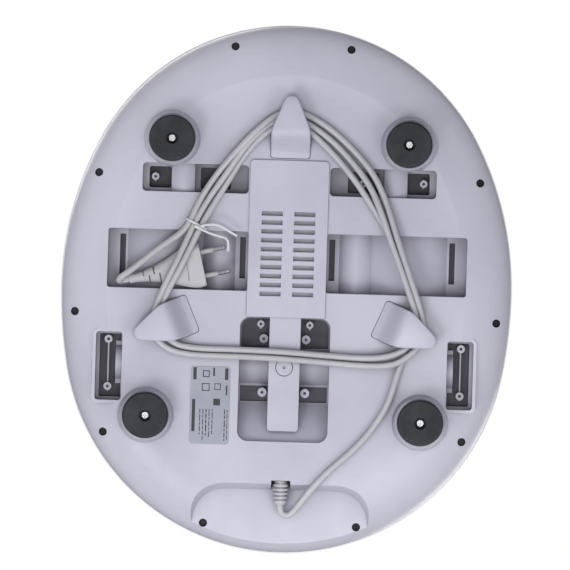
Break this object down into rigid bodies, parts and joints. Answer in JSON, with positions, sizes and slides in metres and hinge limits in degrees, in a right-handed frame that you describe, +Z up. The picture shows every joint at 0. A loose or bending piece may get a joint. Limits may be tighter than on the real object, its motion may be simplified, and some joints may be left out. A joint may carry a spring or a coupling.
{
  "type": "electric foot massager",
  "caption": "Oval shiatsu foot massager on rubber feet, with foot wells, spinning massage heads, a toe button, and a mains cord wound on hooks underneath.",
  "frame": {"origin": "on the floor below the middle of the housing, between the four feet", "axes": "+Z up, +Y towards the end that the mains cord leaves, +X to the right for someone who sits at the front and looks towards +Y"},
  "size_m": [0.3516, 0.4116, 0.1073],
  "materials": {
    "housing_plastic": "moulded, fine grain",
    "upper_plastic": "moulded, satin",
    "inner_plastic": "moulded",
    "foot_rubber": "matt rubber",
    "screw_steel": "zinc plated",
    "rim_screw_black": "black passivated",
    "hook_plastic": "moulded, fine grain",
    "rating_foil": "printed silver foil",
    "cord_plastic": "soft vinyl",
    "pin_metal": "nickel plated",
    "sleeve_plastic": "moulded sleeve",
    "tie_plastic": "white",
    "disc_plastic": "moulded",
    "gear_plastic": "acetal",
    "cover_fabric": "breathable mesh",
    "gearbox_metal": "die cast",
    "motor_steel": "steel can",
    "button_plastic": "satin silver grey",
    "bezel_plastic": "plated",
    "board_green": "solder mask",
    "black_plastic": "moulded",
    "dome_rubber": "silicone",
    "lamp_glass": "red lamp"
  },
  "bodies": {
    "root": {"lower_housing": "housing_plastic", "upper_housing": "upper_plastic", "chassis_plate": "inner_plastic", "motor_bracket": "inner_plastic", "board_tray": "inner_plastic", "cord_clamp": "inner_plastic", "board_standoffs": "inner_plastic", "foot_front_left": "foot_rubber", "foot_front_right": "foot_rubber", "foot_back_left": "foot_rubber", "foot_back_right": "foot_rubber", "foot_screws": "screw_steel", "chassis_screws": "screw_steel", "axle_pins": "screw_steel", "housing_screws": "rim_screw_black", "cord_hook_front": "hook_plastic", "cord_hook_left": "hook_plastic", "cord_hook_right": "hook_plastic", "rating_plate": "rating_foil", "strain_relief": "cord_plastic", "power_cord_lead": "cord_plastic", "power_cord_coil": "cord_plastic", "power_cord_tail": "cord_plastic", "plug_body": "cord_plastic", "inner_lead": "cord_plastic", "plug_pins": "pin_metal", "pin_sleeves": "sleeve_plastic", "twist_tie": "tie_plastic", "foot_cover_left": "cover_fabric", "cover_frame_left": "inner_plastic", "foot_cover_right": "cover_fabric", "cover_frame_right": "inner_plastic", "motor_gearbox": "gearbox_metal", "drive_motor": "motor_steel", "button_bezel": "bezel_plastic", "switch_board": "board_green", "power_board": "board_green", "tact_switch": "black_plastic", "board_components": "black_plastic", "transformer": "black_plastic", "switch_dome": "dome_rubber", "heat_lamps": "lamp_glass"},
    "massage_head_left_front": {"disc_gear_left_front": "gear_plastic", "massage_disc_left_front": "disc_plastic"},
    "massage_head_left_middle": {"disc_gear_left_middle": "gear_plastic", "massage_disc_left_middle": "disc_plastic"},
    "massage_head_left_back": {"disc_gear_left_back": "gear_plastic", "massage_disc_left_back": "disc_plastic"},
    "idler_left": {"idler_gear_left": "gear_plastic"},
    "massage_head_right_front": {"disc_gear_right_front": "gear_plastic", "massage_disc_right_front": "disc_plastic"},
    "massage_head_right_middle": {"disc_gear_right_middle": "gear_plastic", "massage_disc_right_middle": "disc_plastic"},
    "massage_head_right_back": {"disc_gear_right_back": "gear_plastic", "massage_disc_right_back": "disc_plastic"},
    "idler_right": {"idler_gear_right": "gear_plastic"},
    "pinion": {"output_pinion": "gear_plastic"},
    "button": {"power_button": "button_plastic"}
  },
  "joints": [
    {"name": "head_spin_left_front", "type": "hinge", "parent": "root", "child": "massage_head_left_front", "pos_m": [-0.082, -0.066, 0.06], "axis": [0, 0, 1], "continuous": true},
    {"name": "head_spin_left_middle", "type": "hinge", "parent": "root", "child": "massage_head_left_middle", "pos_m": [-0.082, 0, 0.06], "axis": [0, 0, 1], "continuous": true},
    {"name": "head_spin_left_back", "type": "hinge", "parent": "root", "child": "massage_head_left_back", "pos_m": [-0.082, 0.066, 0.06], "axis": [0, 0, 1], "continuous": true},
    {"name": "idler_spin_left", "type": "hinge", "parent": "root", "child": "idler_left", "pos_m": [-0.031, 0, 0.05], "axis": [0, 0, 1], "continuous": true},
    {"name": "head_spin_right_front", "type": "hinge", "parent": "root", "child": "massage_head_right_front", "pos_m": [0.082, -0.066, 0.06], "axis": [0, 0, 1], "continuous": true},
    {"name": "head_spin_right_middle", "type": "hinge", "parent": "root", "child": "massage_head_right_middle", "pos_m": [0.082, 0, 0.06], "axis": [0, 0, 1], "continuous": true},
    {"name": "head_spin_right_back", "type": "hinge", "parent": "root", "child": "massage_head_right_back", "pos_m": [0.082, 0.066, 0.06], "axis": [0, 0, 1], "continuous": true},
    {"name": "idler_spin_right", "type": "hinge", "parent": "root", "child": "idler_right", "pos_m": [0.031, 0, 0.05], "axis": [0, 0, 1], "continuous": true},
    {"name": "pinion_spin", "type": "hinge", "parent": "root", "child": "pinion", "pos_m": [0, 0, 0.05], "axis": [0, 0, 1], "continuous": true},
    {"name": "button_press", "type": "slide", "parent": "root", "child": "button", "axis": [0, 0.0436, -0.999], "range_m": [0, 0.0025], "stiffness_N_per_m": 900, "deforming": ["switch_dome"]}
  ],
  "couplings": [
    {"joint": "head_spin_left_front", "follows": "head_spin_right_middle", "ratio": -1},
    {"joint": "head_spin_left_middle", "follows": "head_spin_right_middle", "ratio": 1},
    {"joint": "head_spin_left_back", "follows": "head_spin_right_middle", "ratio": -1},
    {"joint": "idler_spin_left", "follows": "head_spin_right_middle", "ratio": -1.8333},
    {"joint": "head_spin_right_front", "follows": "head_spin_right_middle", "ratio": -1},
    {"joint": "head_spin_right_back", "follows": "head_spin_right_middle", "ratio": -1},
    {"joint": "idler_spin_right", "follows": "head_spin_right_middle", "ratio": -1.8333},
    {"joint": "pinion_spin", "follows": "head_spin_right_middle", "ratio": 2.5385}
  ]
}
